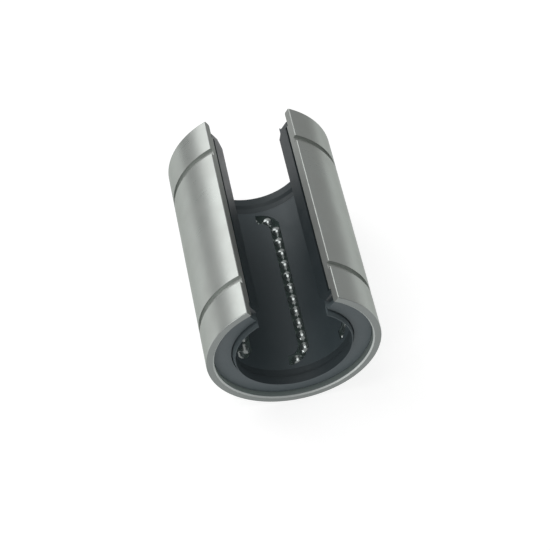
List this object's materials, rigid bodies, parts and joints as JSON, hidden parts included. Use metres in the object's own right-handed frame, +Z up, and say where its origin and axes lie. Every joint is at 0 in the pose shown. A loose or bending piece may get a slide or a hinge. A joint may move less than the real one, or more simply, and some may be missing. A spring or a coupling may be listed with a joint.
{
  "type": "linear ball bushing",
  "caption": "Open linear ball bushing: a slotted steel sleeve with snap-ring grooves, a plastic cage with recirculating ball circuits, and a lip seal at each end.",
  "frame": {"origin": "on the bushing axis at mid-length, which is the centre of the shaft bore", "axes": "+Y along the bushing axis from the front end to the rear end, +Z up through the middle of the slot, +X to the right seen from the front"},
  "size_m": [0.045, 0.064, 0.0419],
  "materials": {
    "sleeve_steel": "fine ground",
    "retainer_plastic": "moulded matt",
    "seal_rubber": "moulded matt",
    "ball_steel": "polished"
  },
  "bodies": {
    "bushing_body": {"outer_sleeve": "sleeve_steel", "ball_retainer": "retainer_plastic", "front_seal": "seal_rubber", "rear_seal": "seal_rubber"},
    "circuit_1_load": {"circuit_1_load_balls": "ball_steel"},
    "circuit_1_return": {"circuit_1_return_balls": "ball_steel"},
    "circuit_1_front_turn": {"circuit_1_front_turn_balls": "ball_steel"},
    "circuit_1_rear_turn": {"circuit_1_rear_turn_balls": "ball_steel"},
    "circuit_2_load": {"circuit_2_load_balls": "ball_steel"},
    "circuit_2_return": {"circuit_2_return_balls": "ball_steel"},
    "circuit_2_front_turn": {"circuit_2_front_turn_balls": "ball_steel"},
    "circuit_2_rear_turn": {"circuit_2_rear_turn_balls": "ball_steel"},
    "circuit_3_load": {"circuit_3_load_balls": "ball_steel"},
    "circuit_3_return": {"circuit_3_return_balls": "ball_steel"},
    "circuit_3_front_turn": {"circuit_3_front_turn_balls": "ball_steel"},
    "circuit_3_rear_turn": {"circuit_3_rear_turn_balls": "ball_steel"},
    "circuit_4_load": {"circuit_4_load_balls": "ball_steel"},
    "circuit_4_return": {"circuit_4_return_balls": "ball_steel"},
    "circuit_4_front_turn": {"circuit_4_front_turn_balls": "ball_steel"},
    "circuit_4_rear_turn": {"circuit_4_rear_turn_balls": "ball_steel"},
    "circuit_5_load": {"circuit_5_load_balls": "ball_steel"},
    "circuit_5_return": {"circuit_5_return_balls": "ball_steel"},
    "circuit_5_front_turn": {"circuit_5_front_turn_balls": "ball_steel"},
    "circuit_5_rear_turn": {"circuit_5_rear_turn_balls": "ball_steel"}
  },
  "joints": [
    {"name": "circuit_1_load_travel", "type": "slide", "parent": "bushing_body", "child": "circuit_1_load", "axis": [0, 1, 0], "range_m": [-0.0001, 0.0019]},
    {"name": "circuit_1_return_travel", "type": "slide", "parent": "bushing_body", "child": "circuit_1_return", "axis": [0, 1, 0], "range_m": [-0.0019, 0.0001]},
    {"name": "circuit_1_front_turn_travel", "type": "hinge", "parent": "bushing_body", "child": "circuit_1_front_turn", "pos_m": [0.01542, -0.0196, 0.0089], "axis": [0.866, 0, 0.5], "range_deg": [-22.23, 1.18]},
    {"name": "circuit_1_rear_turn_travel", "type": "hinge", "parent": "bushing_body", "child": "circuit_1_rear_turn", "pos_m": [0.01542, 0.0196, 0.0089], "axis": [0.866, 0, 0.5], "range_deg": [-22.23, 1.18]},
    {"name": "circuit_2_load_travel", "type": "slide", "parent": "bushing_body", "child": "circuit_2_load", "axis": [0, 1, 0], "range_m": [-0.0001, 0.0019]},
    {"name": "circuit_2_return_travel", "type": "slide", "parent": "bushing_body", "child": "circuit_2_return", "axis": [0, 1, 0], "range_m": [-0.0019, 0.0001]},
    {"name": "circuit_2_front_turn_travel", "type": "hinge", "parent": "bushing_body", "child": "circuit_2_front_turn", "pos_m": [0.01542, -0.0196, -0.0089], "axis": [0.866, 0, -0.5], "range_deg": [-22.23, 1.18]},
    {"name": "circuit_2_rear_turn_travel", "type": "hinge", "parent": "bushing_body", "child": "circuit_2_rear_turn", "pos_m": [0.01542, 0.0196, -0.0089], "axis": [0.866, 0, -0.5], "range_deg": [-22.23, 1.18]},
    {"name": "circuit_3_load_travel", "type": "slide", "parent": "bushing_body", "child": "circuit_3_load", "axis": [0, 1, 0], "range_m": [-0.0001, 0.0019]},
    {"name": "circuit_3_return_travel", "type": "slide", "parent": "bushing_body", "child": "circuit_3_return", "axis": [0, 1, 0], "range_m": [-0.0019, 0.0001]},
    {"name": "circuit_3_front_turn_travel", "type": "hinge", "parent": "bushing_body", "child": "circuit_3_front_turn", "pos_m": [0, -0.0196, -0.0178], "axis": [0, 0, -1], "range_deg": [-22.23, 1.18]},
    {"name": "circuit_3_rear_turn_travel", "type": "hinge", "parent": "bushing_body", "child": "circuit_3_rear_turn", "pos_m": [0, 0.0196, -0.0178], "axis": [0, 0, -1], "range_deg": [-22.23, 1.18]},
    {"name": "circuit_4_load_travel", "type": "slide", "parent": "bushing_body", "child": "circuit_4_load", "axis": [0, 1, 0], "range_m": [-0.0001, 0.0019]},
    {"name": "circuit_4_return_travel", "type": "slide", "parent": "bushing_body", "child": "circuit_4_return", "axis": [0, 1, 0], "range_m": [-0.0019, 0.0001]},
    {"name": "circuit_4_front_turn_travel", "type": "hinge", "parent": "bushing_body", "child": "circuit_4_front_turn", "pos_m": [-0.01542, -0.0196, -0.0089], "axis": [-0.866, 0, -0.5], "range_deg": [-22.23, 1.18]},
    {"name": "circuit_4_rear_turn_travel", "type": "hinge", "parent": "bushing_body", "child": "circuit_4_rear_turn", "pos_m": [-0.01542, 0.0196, -0.0089], "axis": [-0.866, 0, -0.5], "range_deg": [-22.23, 1.18]},
    {"name": "circuit_5_load_travel", "type": "slide", "parent": "bushing_body", "child": "circuit_5_load", "axis": [0, 1, 0], "range_m": [-0.0001, 0.0019]},
    {"name": "circuit_5_return_travel", "type": "slide", "parent": "bushing_body", "child": "circuit_5_return", "axis": [0, 1, 0], "range_m": [-0.0019, 0.0001]},
    {"name": "circuit_5_front_turn_travel", "type": "hinge", "parent": "bushing_body", "child": "circuit_5_front_turn", "pos_m": [-0.01542, -0.0196, 0.0089], "axis": [-0.866, 0, 0.5], "range_deg": [-22.23, 1.18]},
    {"name": "circuit_5_rear_turn_travel", "type": "hinge", "parent": "bushing_body", "child": "circuit_5_rear_turn", "pos_m": [-0.01542, 0.0196, 0.0089], "axis": [-0.866, 0, 0.5], "range_deg": [-22.23, 1.18]}
  ],
  "couplings": [
    {"joint": "circuit_1_return_travel", "follows": "circuit_1_load_travel", "ratio": -1},
    {"joint": "circuit_1_front_turn_travel", "follows": "circuit_1_load_travel", "rad_per_m": -204.08},
    {"joint": "circuit_1_rear_turn_travel", "follows": "circuit_1_load_travel", "rad_per_m": -204.08},
    {"joint": "circuit_2_return_travel", "follows": "circuit_2_load_travel", "ratio": -1},
    {"joint": "circuit_2_front_turn_travel", "follows": "circuit_2_load_travel", "rad_per_m": -204.08},
    {"joint": "circuit_2_rear_turn_travel", "follows": "circuit_2_load_travel", "rad_per_m": -204.08},
    {"joint": "circuit_3_return_travel", "follows": "circuit_3_load_travel", "ratio": -1},
    {"joint": "circuit_3_front_turn_travel", "follows": "circuit_3_load_travel", "rad_per_m": -204.08},
    {"joint": "circuit_3_rear_turn_travel", "follows": "circuit_3_load_travel", "rad_per_m": -204.08},
    {"joint": "circuit_4_return_travel", "follows": "circuit_4_load_travel", "ratio": -1},
    {"joint": "circuit_4_front_turn_travel", "follows": "circuit_4_load_travel", "rad_per_m": -204.08},
    {"joint": "circuit_4_rear_turn_travel", "follows": "circuit_4_load_travel", "rad_per_m": -204.08},
    {"joint": "circuit_5_return_travel", "follows": "circuit_5_load_travel", "ratio": -1},
    {"joint": "circuit_5_front_turn_travel", "follows": "circuit_5_load_travel", "rad_per_m": -204.08},
    {"joint": "circuit_5_rear_turn_travel", "follows": "circuit_5_load_travel", "rad_per_m": -204.08}
  ]
}
